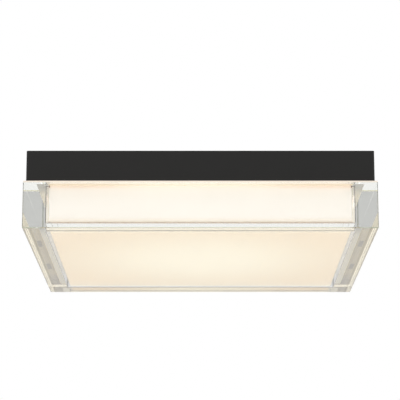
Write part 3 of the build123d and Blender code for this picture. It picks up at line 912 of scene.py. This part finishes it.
@dataclass
class LightEngine:
    """LED board, chips, connector and the opal diffuser over them."""

    pitch: float = 0.028725
    count: int = 8
    chip: float = 0.003
    chip_height: float = 0.0007
    package_share: float = 0.6
    pad_share: float = 0.4
    pad_sides: int = 12
    board_under: float = BOARD_UNDER
    flange_under: float = -0.0284
    weld: float = 0.00012
    slack: float = 1e-5

    def diffuser(self) -> None:
        """Make the diffuser, its flange let into the lens by the weld so that no air shows between them."""
        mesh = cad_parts["diffuser"].data.copy()
        for vertex in mesh.vertices:
            if abs(vertex.co.z - self.flange_under) < self.slack:
                vertex.co.z -= self.weld
        stand_for("diffuser", "welded", mesh, OPAL)

    def chips(self) -> None:
        """Make the chips: a flat package with a raised phosphor pad each."""
        made = GeometryTree("led_chips_grid", ("Pitch", "Size", "Height"), PHOSPHOR)
        size, height = made.given["Size"], made.given["Height"]
        reach = made.times(made.given["Pitch"], self.count - 1.0)
        spans = {"Size X": reach, "Size Y": reach, "Vertices X": self.count, "Vertices Y": self.count}
        grid = made.give("GeometryNodeMeshGrid", spans)
        low = made.times(height, self.package_share)
        package = made.bar((size, size, low), made.times(low, -0.5))
        pad_radius = made.times(size, self.pad_share)
        pad = made.cylinder(self.pad_sides, pad_radius, height, made.times(height, -0.5))
        made.end(made.join(package, pad), made.lift(grid, self.board_under))
        sizes = {"Pitch": self.pitch, "Size": self.chip, "Height": self.chip_height}
        stand_for("led_chips", "grid", made.make([(0.0, 0.0, 0.0)], sizes))

    def build(self) -> None:
        """Make the chips and the diffuser and dress the rest."""
        self.chips()
        self.diffuser()
        dress(led_board=BOARD_WHITE, thermal_pad=PAD_SILICONE, board_connector=CONNECTOR_PLASTIC)


@dataclass
class LensBlock:
    """The thick clear block with polished edges, and the gasket on its rim."""

    half: float = 0.1525
    top: float = -0.02845
    bottom: float = -0.0689
    wall: float = 0.0185
    floor: float = 0.0068
    corner: float = 0.0006
    foot_edge: float = 0.0008
    rim_edge: float = 0.0002
    pocket_corner: float = 0.0008
    pocket_edge: float = 0.0008
    pocket_rim: float = 0.0004
    edge_steps: int = 3
    flat: float = 0.999

    def profile(self) -> list[list[Point]]:
        """Loops from the underside, up the outside and down into the pocket.

        Returns:
            The loops of the block.
        """
        turns = [step / self.edge_steps * math.pi / 2 for step in range(self.edge_steps + 1)]
        arcs = [(1 - math.cos(turn), 1 - math.sin(turn)) for turn in turns]
        outside = [(self.half - self.foot_edge * y, self.bottom + self.foot_edge * x) for x, y in arcs]
        outside += [(self.half - self.rim_edge * x, self.top - self.rim_edge * y) for x, y in arcs]
        pocket = self.half - self.wall
        pocket_floor = self.bottom + self.floor
        inside = [
            (pocket + self.pocket_rim, self.top),
            (pocket, self.top - self.pocket_rim),
            (pocket, pocket_floor + self.pocket_edge),
            (pocket - self.pocket_edge, pocket_floor),
        ]
        loops = [rounded_loop(half, self.corner, level) for half, level in outside]
        return loops + [rounded_loop(half, self.pocket_corner, level) for half, level in inside]

    def build(self) -> None:
        """Make the lens and dress its gasket."""
        mesh = loft(self.profile(), True)
        for face in mesh.polygons:
            face.use_smooth = max(abs(part) for part in face.normal) < self.flat
        stand_for("clear_lens", "block", mesh, ACRYLIC)
        dress(lens_gasket=SILICONE)


@dataclass
class SoftenedPart:
    """A moulded or pressed CAD node, shown with small edge radii."""

    node: str
    slot: str
    finish: Finish
    edge: float = 0.0003
    body: str = "fixture"
    merge: float = 1e-6
    flat_angle: float = 0.5
    edge_angle: float = 35.0
    edge_steps: int = 2

    def build(self) -> None:
        """Copy the node's mesh, merge it, round its edges and show that copy."""
        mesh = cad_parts[self.node].data.copy()
        made = bmesh.new()
        made.from_mesh(mesh)
        bmesh.ops.remove_doubles(made, verts=made.verts[:], dist=self.merge)
        flat = math.radians(self.flat_angle)
        bmesh.ops.dissolve_limit(
            made, angle_limit=flat, use_dissolve_boundaries=False, verts=made.verts[:], edges=made.edges[:]
        )
        made.to_mesh(mesh)
        made.free()
        copy = link(self.node + "_copy", mesh)
        bevel = copy.modifiers.new("edges", "BEVEL")
        bevel.width = self.edge
        bevel.segments = self.edge_steps
        bevel.limit_method = "ANGLE"
        bevel.angle_limit = math.radians(self.edge_angle)
        stand_for(self.node, "softened", settle(copy), self.finish, self.body)


@dataclass
class Lead:
    """One insulated lead that is held at both ends."""

    node: str
    slot: str
    finish: Finish
    route: Sequence[Point]
    diameter: float = 0.002
    round_steps: int = 4
    run_steps: int = 16

    def build(self) -> None:
        """Run a round tube along a smooth line that follows the route's points."""
        curve = bpy.data.curves.new(self.node, "CURVE")
        curve.dimensions = "3D"
        curve.bevel_depth = self.diameter / 2
        curve.bevel_resolution = self.round_steps
        curve.resolution_u = self.run_steps
        curve.use_fill_caps = True
        line = curve.splines.new("NURBS")
        line.points.add(len(self.route) - 1)
        for spot, place in zip(line.points, self.route):
            spot.co = (*place, 1.0)
        line.order_u = 3
        line.use_endpoint_u = True
        tube = link(self.node + "_curve", curve)
        stand_for(self.node, "smooth", settle(tube), self.finish)


@dataclass
class Wiring:
    """The leads inside the canopy, from terminal block to driver, earth point and LED board."""

    block: float = -0.090825
    driver: Pair = (-0.056825, 0.061175)
    inside: float = 0.0016
    straight: float = 0.009
    insertion: float = 0.006
    entry: float = -0.0152
    leaving: float = -0.0122
    board_under: float = BOARD_UNDER
    row: float = MODULE_ROW
    pole_pitch: float = POLE_PITCH
    half_pair: float = 0.0024
    earth_x: float = -0.072825
    barrel: float = 0.046175

    def supply(self, pole: float, leave: float) -> list[Point]:
        """Route from a terminal pole to the driver's supply end.

        Args:
            pole: The pole's place along Y.
            leave: The lead's place along Y at the driver.

        Returns:
            The route's points.
        """
        return [
            (self.block - self.insertion, pole, self.entry),
            (self.block + self.straight, pole, self.entry),
            (self.driver[0] - self.straight, leave, self.leaving),
            (self.driver[0] + self.inside, leave, self.leaving),
        ]

    def output(self, row: float) -> list[Point]:
        """Route from the driver's output end down to the LED board.

        Args:
            row: The lead's place along Y.

        Returns:
            The route's points.
        """
        return [
            (self.driver[1] - self.inside, row, self.leaving),
            (self.row, row, self.leaving),
            (self.row, row, self.board_under),
        ]

    def build(self) -> None:
        """Run all five leads."""
        high, low = self.row + self.half_pair, self.row - self.half_pair
        earth_pole = self.row - self.pole_pitch
        earth = [
            (self.block - self.insertion, earth_pole, self.entry),
            (self.earth_x, earth_pole, self.entry),
            (self.earth_x, self.barrel, self.entry),
        ]
        leads = [
            Lead("live_lead", "live_insulation", BLACK_LEAD, self.supply(self.row + self.pole_pitch, high)),
            Lead("neutral_lead", "neutral_insulation", WHITE_LEAD, self.supply(self.row, low)),
            Lead("earth_lead", "earth_insulation", GREEN_LEAD, earth),
            Lead("led_lead_positive", "positive_insulation", RED_LEAD, self.output(high)),
            Lead("led_lead_negative", "live_insulation", BLACK_LEAD, self.output(low)),
        ]
        for lead in leads:
            lead.build()


@dataclass
class Grommet:
    """The soft bushing where the LED leads pass the canopy floor."""

    centre: Pair = (MODULE_ROW, MODULE_ROW)
    bore: float = 0.004
    bore_edge: float = 0.0005
    neck: float = 0.006
    flange: float = 0.0085
    seat: float = -0.0242
    foot: float = -0.0272
    rise: float = 0.0015
    steps: int = 6
    sides: int = 48

    def build(self) -> None:
        """Loft the bushing with a rounded lip."""
        lip = self.rise / 2
        top = self.seat + self.rise
        turns = [-math.pi / 2 + step / self.steps * math.pi for step in range(self.steps + 1)]
        rings = [
            (self.bore, self.foot),
            (self.neck, self.foot),
            (self.neck, self.seat),
            *((self.flange - lip + lip * math.cos(t), self.seat + lip + lip * math.sin(t)) for t in turns),
            (self.bore + self.bore_edge, top),
            (self.bore, top - self.bore_edge),
        ]
        x, y = self.centre
        circle = [2 * math.pi * side / self.sides for side in range(self.sides)]
        loops = [[(x + r * math.cos(t), y + r * math.sin(t), z) for t in circle] for r, z in rings]
        mesh = loft(loops, False)
        smooth(mesh)
        stand_for("lead_grommet", "moulded", mesh, GROMMET_RUBBER)


@dataclass
class CanopyAndPlate:
    """Canopy, ceiling plate and the modules between them."""

    plate_edge: float = 0.0002

    def build(self) -> None:
        """Soften and dress the moulded and pressed pieces."""
        parts = [
            SoftenedPart("mounting_plate", "zinc_steel", ZINC, self.plate_edge, "ceiling_bracket"),
            SoftenedPart("driver_case", "driver_plastic", DRIVER_PLASTIC),
            SoftenedPart("driver_cover", "driver_plastic", DRIVER_PLASTIC),
            SoftenedPart("terminal_block", "terminal_plastic", TERMINAL_PLASTIC),
        ]
        for part in parts:
            part.build()
        dress(canopy=POWDER_COAT, ceiling_gasket=RING_RUBBER)
        dress(driver_board=BOARD_GREEN, earth_terminal=TINNED_COPPER)


@dataclass
class Studio:
    """Camera at the photograph's place, pale floor, soft lamps and a white background."""

    focal_px: float = 1819.0
    frame_px: float = 400.0
    sensor: float = 36.0
    place: Point = (0.0, -1.6705, -0.4009)
    pitch: float = 13.221
    shift_px: float = 0.4
    near: float = 0.05
    floor_level: float = -0.78
    floor_reach: float = 9.0
    ambient: float = 0.62
    bounces: int = 32
    lamps: tuple[tuple[str, Point, float, float], ...] = (
        ("key_lamp", (-1.3, -1.7, 1.3), 1.6, 14.0),
        ("fill_lamp", (1.7, -1.2, 0.6), 1.8, 8.0),
        ("back_lamp", (0.4, 1.9, 1.2), 1.6, 10.0),
    )

    def camera(self) -> None:
        """Place the camera that the photograph was fitted with."""
        data = bpy.data.cameras.new("photo_camera")
        data.sensor_width = self.sensor
        data.lens = self.focal_px * self.sensor / self.frame_px
        data.shift_x = -self.shift_px / self.frame_px
        data.clip_start = self.near
        camera = link("photo_camera", data)
        camera.location = self.place
        camera.rotation_euler = (math.radians(90.0 + self.pitch), 0.0, 0.0)
        bpy.context.scene.camera = camera

    def light(self) -> None:
        """Set soft lamps that face the light."""
        for name, place, size, power in self.lamps:
            data = bpy.data.lights.new(name, "AREA")
            data.size = size
            data.energy = power
            lamp = link(name, data)
            lamp.location = place
            lamp.rotation_euler = (-Vector(place)).to_track_quat("-Z", "Y").to_euler()

    def surround(self) -> None:
        """White background for what is seen, reflected or refracted; softer light for the rest."""
        world = bpy.data.worlds.new("surround")
        world.use_nodes = True
        bpy.context.scene.world = world
        sheet = Sheet(world.node_tree)
        path = sheet.add("ShaderNodeLightPath").outputs
        seen = sheet.math("MAXIMUM", path["Is Camera Ray"], path["Is Glossy Ray"])
        seen = sheet.math("MAXIMUM", seen, path["Is Transmission Ray"])
        soft, white = (
            sheet.give("ShaderNodeBackground", {"Color": (*WHITE, 1.0), "Strength": strength})
            for strength in (self.ambient, 1.0)
        )
        mixed = sheet.give("ShaderNodeMixShader", {0: seen, 1: soft, 2: white})
        sheet.add("ShaderNodeOutputWorld", {"Surface": mixed})

    def floor(self) -> None:
        """Lay a pale floor well below the light."""
        mesh = bpy.data.meshes.new("studio_floor")
        mesh.from_pydata(corners(self.floor_reach, self.floor_level), [], [(0, 2, 3, 1)])
        link("studio_floor", mesh, FLOOR_PAINT)

    def build(self) -> None:
        """Set up the whole studio."""
        bpy.context.scene.view_settings.view_transform = "Standard"
        for kind in ("max_bounces", "glossy_bounces", "transmission_bounces"):
            setattr(bpy.context.scene.cycles, kind, self.bounces)
        self.camera()
        self.light()
        self.surround()
        self.floor()


def main() -> None:
    """Build the studio and each sub-assembly of the light, and log each one."""
    logging.basicConfig(level=logging.INFO, format="%(name)s: %(message)s")
    for part in (Studio, CanopyAndPlate, LightEngine, LensBlock, Wiring, Grommet, Fasteners, SetScrews):
        part().build()
        LOG.info("built %s", part.__name__)


if __name__ == "__main__":
    main()
